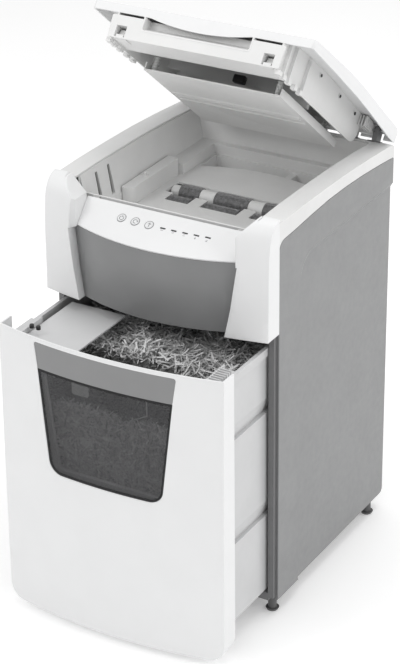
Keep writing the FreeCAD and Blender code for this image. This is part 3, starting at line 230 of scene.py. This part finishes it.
def floor_paint():
    surface = Surface("pale_floor", (0.93, 0.93, 0.93), 0.75, specular=0.2)
    surface.shader.inputs["Emission Color"].default_value = (1, 1, 1, 1)
    surface.shader.inputs["Emission Strength"].default_value = 0.22
    surface.tint(surface.noise(0.6, 3.0), 0.01)
    surface.bump((surface.noise(0.004, 3.0), 0.0001))
    return surface


WHITE = moulded("white_moulding", (0.80, 0.803, 0.806), 0.42, tint=0.008)
GRAY = moulded("gray_moulding", (0.240, 0.242, 0.244), 0.40, depth=0.00008, tint=0.03)
PALE = moulded("pale_trim", (0.74, 0.74, 0.735), 0.46)
TRAY = moulded("tray_moulding", (0.77, 0.77, 0.765), 0.48)
LID_GRAY = moulded("lid_inner_moulding", (0.76, 0.76, 0.755), 0.5)
TUB = moulded("tub_moulding", (0.60, 0.602, 0.606), 0.5, grain=0.0013, depth=0.00009)
DARK = moulded("frame_moulding", (0.17, 0.17, 0.173), 0.5)
BAND = moulded("band_moulding", (0.24, 0.241, 0.243), 0.34, depth=0.00004)
BLACK = moulded("black_moulding", (0.022, 0.022, 0.023), 0.5, tint=0.2)
FOOT = moulded("foot_moulding", (0.11, 0.11, 0.112), 0.55, tint=0.1)
BUTTON = moulded("button_moulding", (0.80, 0.805, 0.81), 0.38)
LENS = moulded("lens_moulding", (0.05, 0.05, 0.052), 0.18, depth=0.00001, tint=0.1)
MOTOR = moulded("motor_enamel", (0.05, 0.05, 0.055), 0.35, depth=0.0001)
STEEL = metal("ground_steel", (0.56, 0.56, 0.57), 0.32)
ZINC = metal("zinc_plate", (0.62, 0.63, 0.62), 0.36, (1, 1, 1))
RIBBED = ribbed_rubber()
RUBBER = soft_rubber()
SMOKED = smoked()
PAPER = paper("shredded_paper", 0.38, 0.80)
# painted shade: the shreds in the trough behind the bin's front get much darker grays to stand in for the
# shadow there
SHADED_PAPER = paper("painted_shade_shredded_paper", 0.05, 0.16)
CORE = paper_core()
BOARD = board()
INK = printed("gray_print", (0.16, 0.16, 0.165))

NODE_SURFACE = {
    WHITE: ["right_pillar", "left_pillar", "control_panel", "bin_front", "lid_cover"],
    GRAY: ["right_side_panel", "left_side_panel", "front_panel", "rear_panel"],
    PALE: ["top_trim"],
    TRAY: ["paper_tray", "guide_block", "feed_shaft_front", "feed_shaft_rear"],
    LID_GRAY: ["lid_frame", "latch_frame", "press_plate", "latch_tongues"],
    TUB: ["bin_tub", "rim_fittings"],
    DARK: ["base_frame", "head_plate", "stripper_combs", "hinge_brackets"],
    BAND: ["bin_band"],
    SMOKED: ["bin_window"],
    RUBBER: ["window_gasket", "feed_belts", "feed_bands_front", "feed_bands_rear"],
    STEEL: ["cutter_shaft_front", "cutter_shaft_rear", "cutter_drum_front", "cutter_drum_rear",
            "sync_gear_front", "sync_gear_rear", "driven_gear", "idler_gear", "motor_shaft",
            "hinge_pins", "cutter_bearings", "tie_rods"],
    ZINC: ["cutter_plates", "rear_screws", "press_springs", "bag_holder", "drawer_rails"],
    FOOT: ["feet"],
    BLACK: ["lid_screws", "power_inlet", "power_rocker", "bin_switch", "bin_runners"],
    BOARD: ["control_board", "mains_board"],
    BUTTON: ["power_button", "reverse_button", "forward_button"],
    LENS: ["indicator_lenses"],
    MOTOR: ["motor_body"],
}
SOFTENED = {"right_pillar": 1.6, "left_pillar": 1.6, "bin_front": 1.4, "lid_cover": 1.2, "top_trim": 1.4,
            "right_side_panel": 0.7, "left_side_panel": 0.7, "guide_block": 1.5,
            "paper_tray": 0.8, "bin_tub": 0.8, "press_plate": 0.5, "latch_frame": 0.5, "lid_frame": 0.4,
            "front_panel": 0.6, "power_rocker": 0.8}


def soften(piece, width):
    """Rounds a CAD node's sharp edges by a small bevel, in millimetres."""
    weld = piece.modifiers.new("weld", "WELD")
    weld.merge_threshold = 0.00002
    bevel = piece.modifiers.new("soft_edges", "BEVEL")
    bevel.width = width * MM
    bevel.segments = 2
    bevel.limit_method = "ANGLE"
    bevel.angle_limit = math.radians(35)
    bevel.use_clamp_overlap = True
    bevel.harden_normals = True


def dress_nodes():
    for surface, names in NODE_SURFACE.items():
        for name in names:
            piece = NODES[name]
            piece.data.materials.clear()
            piece.data.materials.append(surface.material)
    for name, width in SOFTENED.items():
        soften(NODES[name], width)


# ---------------------------------------------------------------- pieces

def add(name, bm, body, surface, smooth=True):
    """Makes a piece from a bmesh, and it rides on a body."""
    mesh = bpy.data.meshes.new(name)
    bmesh.ops.recalc_face_normals(bm, faces=bm.faces)
    bm.to_mesh(mesh)
    bm.free()
    for face in mesh.polygons:
        face.use_smooth = smooth
    mesh.materials.append(surface.material)
    piece = bpy.data.objects.new(name, mesh)
    bpy.context.scene.collection.objects.link(piece)
    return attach(piece, body)


def tube(bm, points, radius, sides=10, closed=False):
    """A round tube along points."""
    rings = []
    count = len(points)
    side = None
    for i, point in enumerate(points):
        after = points[(i + 1) % count] if closed or i + 1 < count else point
        before = points[i - 1] if closed or i else point
        along = (after - before).normalized()
        if side is None:
            side = along.orthogonal().normalized()
        side = (side - along * side.dot(along)).normalized()
        up = along.cross(side)
        rings.append([bm.verts.new(point + (side * math.cos(a) + up * math.sin(a)) * radius)
                      for a in (2 * math.pi * k / sides for k in range(sides))])
    pairs = list(zip(rings, rings[1:] + rings[:1])) if closed else list(zip(rings, rings[1:]))
    for first, second in pairs:
        for k in range(sides):
            bm.faces.new([first[k], first[(k + 1) % sides], second[(k + 1) % sides], second[k]])
    if not closed:
        bm.faces.new(rings[0][::-1])
        bm.faces.new(rings[-1])


def shred(bm, centre, heading, tilt, roll, length, width, curl):
    """One curled strip of paper."""
    steps = 4
    turn = Matrix.Rotation(heading, 3, "Z") @ Matrix.Rotation(tilt, 3, "Y") @ Matrix.Rotation(roll, 3, "X")
    rows = []
    for i in range(steps + 1):
        t = i / steps - 0.5
        along = Vector((length * t, 0, curl * (4 * t * t - 0.5)))
        across = Vector((0, width / 2, 0))
        edges = (along - across, along + across)
        rows.append([bm.verts.new(centre + turn @ edge) for edge in edges])
    for first, second in zip(rows, rows[1:]):
        bm.faces.new([first[0], second[0], second[1], first[1]])


# Inside of the bin as it stands, in metres
BIN_X = 0.168
BIN_FRONT = -0.190 - BIN_OUT + BACK
BIN_REAR = 0.154 - BIN_OUT + BACK
BIN_FLOOR = 0.051
HEAP_TOP = 0.458
STRIP_WIDTH = (0.0017, 0.0027)
HEAP_STRIPS = 7500
WINDOW_STRIPS = 3200
TROUGH = 0.066      # the low stretch of the heap behind the bin's front, and its slope


def heap_height(x, y):
    """How high the shreds lie: a low mound with dips, lower at the walls."""
    across, along = x / BIN_X, (y - BIN_FRONT) / (BIN_REAR - BIN_FRONT)
    mound = 0.012 * math.cos(across * math.pi / 2) * math.sin(min(1.0, along * 1.4 + 0.25) * math.pi)
    ripple = 0.005 * math.sin(x * 41 + 1.0) * math.cos(y * 37) + 0.003 * math.sin(x * 83 + y * 61)
    rise = min(1.0, max(0.0, (y - BIN_FRONT - 0.035) / 0.040))
    slope = 0.074 * (1 - rise * rise * (3 - 2 * rise))
    return HEAP_TOP - 0.008 + mound + ripple - slope


def heap_core():
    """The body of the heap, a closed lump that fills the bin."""
    bm = bmesh.new()
    across, along = 40, 40
    inset = 0.006
    top, bottom = {}, {}
    for i in range(across + 1):
        for j in range(along + 1):
            x = -BIN_X + inset + (2 * BIN_X - 2 * inset) * i / across
            y = BIN_FRONT + inset + (BIN_REAR - BIN_FRONT - 2 * inset) * j / along
            top[i, j] = bm.verts.new((x, y, heap_height(x, y) - 0.007))
            if i in (0, across) or j in (0, along):
                bottom[i, j] = bm.verts.new((x, y, BIN_FLOOR))
    for i in range(across):
        for j in range(along):
            bm.faces.new([top[i, j], top[i + 1, j], top[i + 1, j + 1], top[i, j + 1]])
    edge = [(i, 0) for i in range(across)] + [(across, j) for j in range(along)]
    edge += [(i, along) for i in range(across, 0, -1)] + [(0, j) for j in range(along, 0, -1)]
    for here, there in zip(edge, edge[1:] + edge[:1]):
        bm.faces.new([bottom[here], bottom[there], top[there], top[here]])
    bm.faces.new([bottom[key] for key in edge][::-1])
    add("packed_shreds", bm, "bin", CORE)


def loose_shreds():
    """Strips strewn over the heap; those in the trough behind the bin's front get a much darker paper,
    painted shade for the shadow there.
    """
    heap, trough = bmesh.new(), bmesh.new()
    margin = 0.018
    for _ in range(HEAP_STRIPS):
        x = RNG.uniform(-BIN_X + margin, BIN_X - margin)
        y = RNG.uniform(BIN_FRONT + margin, BIN_REAR - margin)
        centre = Vector((x, y, heap_height(x, y) + RNG.uniform(-0.009, 0.004)))
        shred(trough if y < BIN_FRONT + TROUGH else heap, centre, RNG.uniform(0, 2 * math.pi),
              RNG.gauss(0, 0.28), RNG.gauss(0, 0.5), RNG.uniform(0.020, 0.034),
              RNG.uniform(*STRIP_WIDTH), RNG.uniform(-0.004, 0.005))
    add("loose_shreds", heap, "bin", PAPER)
    add("trough_shreds", trough, "bin", SHADED_PAPER)


def window_shreds():
    """Strips that stand against the bin's front, where the window shows them."""
    bm = bmesh.new()
    for _ in range(WINDOW_STRIPS):
        z = RNG.uniform(0.255, 0.400)
        reach = 0.116 - 0.02 * (0.45 - z) / 0.2
        x = RNG.uniform(-reach, reach)
        centre = Vector((x, BIN_FRONT + RNG.uniform(-0.001, 0.006), z))
        if z > heap_height(x, BIN_FRONT) - 0.004:
            continue
        upright = Matrix.Rotation(math.pi / 2, 3, "X")
        before = len(bm.verts)
        shred(bm, Vector(), RNG.uniform(0, math.pi), RNG.gauss(0, 0.10), RNG.gauss(0, 0.4),
              RNG.uniform(0.018, 0.030), RNG.uniform(*STRIP_WIDTH), RNG.uniform(-0.002, 0.003))
        bm.verts.ensure_lookup_table()
        for vert in bm.verts[before:]:
            vert.co = centre + upright @ vert.co
            vert.co.y = max(vert.co.y, BIN_FRONT - 0.002)
    add("window_shreds", bm, "bin", PAPER)


def lid_point(x, along, up):
    """A point given on the shut lid, in millimetres, placed on the open lid."""
    shut = Vector((x * MM, along * MM + BACK, up * MM))
    return LID_PIN + LID_TURN @ (shut - LID_PIN)


# The pressure plate's top on the shut lid, and the springs' posts on it, in millimetres
PLATE_TOP = 634.0
SPRING_ROOM = 33.0
POST_X = (-108.0, 108.0)
POST_ALONG = (-50.0, 146.0)


def plate_springs():
    """Four wound springs over the pressure plate's posts."""
    springs = bmesh.new()
    turns, wire, coil = 7, 0.65, 5.7
    for x in POST_X:
        for along in POST_ALONG:
            points = []
            for k in range(turns * 14 + 1):
                angle = 2 * math.pi * k / 14
                rise = PLATE_TOP + 1.0 + (SPRING_ROOM - 2.0) * k / (turns * 14)
                points.append(lid_point(x + coil * math.cos(angle), along + coil * math.sin(angle), rise))
            tube(springs, points, wire * MM, 6)
    piece = add("plate_coil_springs", springs, "lid", ZINC)
    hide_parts("press_springs")
    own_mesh(piece)


BAND_ENDS = ((-95, -57), (-31, 31), (57, 95))   # across, in millimetres


def roller_bands(name, body):
    """Feed roller rubber with fine ribs along its length, in place of the plain bands."""
    low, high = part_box(name)
    centre_y, centre_z = (low.y + high.y) / 2, (low.z + high.z) / 2
    radius = (high.z - low.z) / 2
    bm = bmesh.new()
    ribs, shaft = 44, 4.2 * MM
    for start, end in BAND_ENDS:
        rings = []
        for x, drop in ((start, 0.9), (start + 0.9, 0.0), (end - 0.9, 0.0), (end, 0.9)):
            ring = []
            for k in range(ribs * 4):
                cut = 0.0 if k % 4 in (0, 1) else 0.7
                angle = 2 * math.pi * k / (ribs * 4)
                reach = radius - (cut + drop) * MM
                spot = (x * MM, centre_y + reach * math.cos(angle), centre_z + reach * math.sin(angle))
                ring.append(bm.verts.new(spot))
            rings.append(ring)
        count = ribs * 4
        inner = [[bm.verts.new((x * MM, centre_y + shaft * math.cos(a), centre_z + shaft * math.sin(a)))
                  for a in (2 * math.pi * k / count for k in range(count))] for x in (start, end)]
        loop = [inner[0]] + rings + [inner[1]]
        for first, second in zip(loop, loop[1:] + loop[:1]):
            for k in range(count):
                bm.faces.new([first[k], second[k], second[(k + 1) % count], first[(k + 1) % count]])
    piece = add(f"ribbed_{name}", bm, body, RIBBED, smooth=False)
    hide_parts(name)


def ink_line(bm, points, centre, thick):
    """A printed line, given flat in millimetres, laid on the control panel's slope about a place."""
    placed = [centre + (ACROSS * a + PANEL_UP * b) * MM + PANEL_OUT * 0.00006 for a, b in points]
    tube(bm, placed, thick * MM, 6)


def arc(radius, start, end, steps=14, middle=(0.0, 0.0)):
    """Points of an arc in degrees, 0 to the right and 90 up the surface."""
    angles = [math.radians(start + (end - start) * k / steps) for k in range(steps + 1)]
    return [(middle[0] + radius * math.cos(a), middle[1] + radius * math.sin(a)) for a in angles]


def pin(bm, centre, radius, height, sides=20):
    """A short upright pin with a rounded top."""
    rings = []
    for share, lift in ((1.0, 0.0), (1.0, 0.7), (0.8, 0.92), (0.35, 1.0)):
        ring = [(share * radius * math.cos(a), share * radius * math.sin(a), lift * height)
                for a in (2 * math.pi * k / sides for k in range(sides))]
        rings.append([bm.verts.new(centre + Vector(place)) for place in ring])
    for first, second in zip(rings, rings[1:]):
        for k in range(sides):
            bm.faces.new([first[k], first[(k + 1) % sides], second[(k + 1) % sides], second[k]])
    bm.faces.new(rings[0][::-1])
    bm.faces.new(rings[-1])


STOP_X = (-0.153, -0.141)
STOP_Y = -0.3158
STOP_RADIUS = 0.0036
STOP_HEIGHT = 0.0065
SENSOR_MIDDLE = (4, 17, 667)    # on the shut lid, in millimetres
SENSOR_SIZE = (20, 11, 13)


def small_fittings():
    """Two dark stops on the bin's rim, and the paper sensor above the pressure plate."""
    stops = bmesh.new()
    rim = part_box("rim_fittings")[1].z
    for x in STOP_X:
        pin(stops, Vector((x, BACK + STOP_Y, rim)), STOP_RADIUS, STOP_HEIGHT)
    add("rim_stops", stops, "bin", BLACK)
    sensor = bmesh.new()
    bmesh.ops.create_cube(sensor, size=1.0)
    for vert in sensor.verts:
        vert.co = lid_point(*[m + s * c for m, s, c in zip(SENSOR_MIDDLE, SENSOR_SIZE, vert.co)])
    bmesh.ops.bevel(sensor, geom=sensor.edges, offset=0.0018, segments=2, affect="EDGES", profile=0.5)
    add("paper_sensor", sensor, "lid", BLACK)


# The control panel's slope, and the signs on it as lines in millimetres
PANEL_TILT = math.atan2(35.0, 61.0)
PANEL_UP = Vector((0, math.cos(PANEL_TILT), math.sin(PANEL_TILT)))
PANEL_OUT = Vector((0, -math.sin(PANEL_TILT), math.cos(PANEL_TILT)))
ACROSS = Vector((1, 0, 0))
SIGN_SCALE = 1.35
SIGN_LINE = 0.42
LAMP_LINE = 0.24
RING_RADIUS = 0.0072
RING_LINE = 0.0004
LAMP_HALF = 0.0045          # half the width of a lamp's lens
LAMP_SIGN_DROP = -0.0047
BUTTON_SIGNS = {
    "power_button": [arc(2.5, 120, 420), [(0.0, 0.6), (0.0, 3.2)]],
    "reverse_button": [arc(2.4, 20, 300), [(2.2, -0.2), (2.3, 1.3), (3.4, 0.1)]],
    "forward_button": [[(0.0, -2.6), (0.0, 2.4)], [(-1.7, 0.8), (0.0, 2.6), (1.7, 0.8)]],
}
LAMP_SIGNS = [
    [[(-1.6, -1.6), (1.6, -1.6), (1.6, 1.6), (-1.6, 1.6), (-1.6, -1.6)]],
    [[(-1.6, 1.6), (-1.1, -1.8), (1.1, -1.8), (1.6, 1.6)]],
    [[(-1.8, -1.6), (1.8, -1.6)], [(-1.4, 0.0), (1.6, 1.6)]],
    [[(0.0, 1.8), (0.0, -1.8)], arc(1.2, 180, 360, 8, (0.0, -0.6))],
    [[(-1.5, -1.5), (1.5, 1.5)], [(-1.5, 1.5), (1.5, -1.5)]],
]


def cap_top(name):
    """The middle of a button's sloping face."""
    low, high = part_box(name)
    radius = (high.x - low.x) / 2
    button = NODES[name]
    down, in_from_front = radius * math.sin(PANEL_TILT), radius * math.cos(PANEL_TILT)
    top = Vector(((low.x + high.x) / 2, low.y + in_from_front, high.z - down))
    return dropped(button, top) or top


def dropped(node, place):
    """Where a line through a place, along the slope's normal, first meets a node from outside."""
    into = node.matrix_world.inverted()
    hit, found, _, _ = node.ray_cast(into @ (place + PANEL_OUT * 0.03), into.to_3x3() @ -PANEL_OUT)
    return node.matrix_world @ found if hit else None


def panel_spot(near, x, up):
    """The control panel's face at an x, and so far up the slope from a place."""
    place = Vector((x, near.y, near.z)) + PANEL_UP * up
    return dropped(NODES["control_panel"], place) or place


def control_signs():
    """Plain signs on the buttons, a thin ring round each, and small signs under the lamps."""
    rings = bmesh.new()
    for name, lines in BUTTON_SIGNS.items():
        top = cap_top(name)
        sign = bmesh.new()
        for line in lines:
            grown = [(SIGN_SCALE * a, SIGN_SCALE * b) for a, b in line]
            ink_line(sign, grown, top, SIGN_LINE)
        add(f"{name}_sign", sign, name, INK)
        around = [panel_spot(top, top.x + RING_RADIUS * math.cos(a), RING_RADIUS * math.sin(a))
                  for a in (2 * math.pi * k / 32 for k in range(32))]
        tube(rings, around, RING_LINE, 6, closed=True)
    add("button_rings", rings, "cabinet", INK)
    lamps = bmesh.new()
    low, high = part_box("indicator_lenses")
    for k, lines in enumerate(LAMP_SIGNS):
        x = low.x + LAMP_HALF + (high.x - low.x - 2 * LAMP_HALF) * k / (len(LAMP_SIGNS) - 1)
        spot = panel_spot(cap_top("power_button"), x, LAMP_SIGN_DROP)
        for line in lines:
            ink_line(lamps, line, spot, LAMP_LINE)
    add("lamp_signs", lamps, "cabinet", INK)


# ---------------------------------------------------------------- stage

CAMERA_PLACE = (1.6812, -2.8594, 2.1155)
CAMERA_YAW, CAMERA_PITCH, CAMERA_ROLL = 30.5, 27.2, -0.7
CAMERA_LENS = 127.4


def add_camera():
    data = bpy.data.cameras.new("camera")
    data.lens = CAMERA_LENS
    data.sensor_width = 36.0
    camera = bpy.data.objects.new("camera", data)
    yaw, pitch, roll = [math.radians(a) for a in (CAMERA_YAW, CAMERA_PITCH, CAMERA_ROLL)]
    turn = Matrix.Rotation(yaw, 4, "Z") @ Matrix.Rotation(math.pi / 2 - pitch, 4, "X")
    camera.matrix_world = Matrix.Translation(CAMERA_PLACE) @ turn @ Matrix.Rotation(roll, 4, "Z")
    bpy.context.scene.collection.objects.link(camera)
    bpy.context.scene.camera = camera


def area_light(name, place, target, size, power):
    data = bpy.data.lights.new(name, "AREA")
    data.shape = "SQUARE"
    data.size = size
    data.energy = power
    light = bpy.data.objects.new(name, data)
    aim = (Vector(target) - Vector(place)).to_track_quat("-Z", "Y").to_matrix().to_4x4()
    light.matrix_world = Matrix.Translation(place) @ aim
    bpy.context.scene.collection.objects.link(light)


def add_stage():
    bm = bmesh.new()
    half = 6.0
    corners = ((-half, -half), (half, -half), (half, half), (-half, half))
    bm.faces.new([bm.verts.new((x, y, 0)) for x, y in corners])
    mesh = bpy.data.meshes.new("floor")
    bm.to_mesh(mesh)
    bm.free()
    mesh.materials.append(floor_paint().material)
    floor = bpy.data.objects.new("floor", mesh)
    bpy.context.scene.collection.objects.link(floor)
    world = bpy.data.worlds.new("studio")
    world.use_nodes = True
    world.node_tree.nodes["Background"].inputs["Color"].default_value = (1, 1, 1, 1)
    world.node_tree.nodes["Background"].inputs["Strength"].default_value = 0.62
    bpy.context.scene.world = world
    area_light("key", (-1.6, -2.2, 2.9), (0, 0, 0.6), 1.5, 27)
    area_light("side", (3.0, -0.6, 1.9), (0, 0, 0.4), 1.4, 15)
    area_light("rear", (2.4, 2.4, 1.7), (0.1, 0.1, 0.4), 0.8, 14)
    area_light("top", (0.2, 0.4, 3.2), (0, 0, 0.5), 2.0, 30)
    bpy.context.scene.view_settings.view_transform = "Standard"


dress_nodes()
add_camera()
add_stage()
heap_core()
loose_shreds()
window_shreds()
plate_springs()
roller_bands("feed_bands_front", "feed_roller_front")
roller_bands("feed_bands_rear", "feed_roller_rear")
control_signs()
small_fittings()
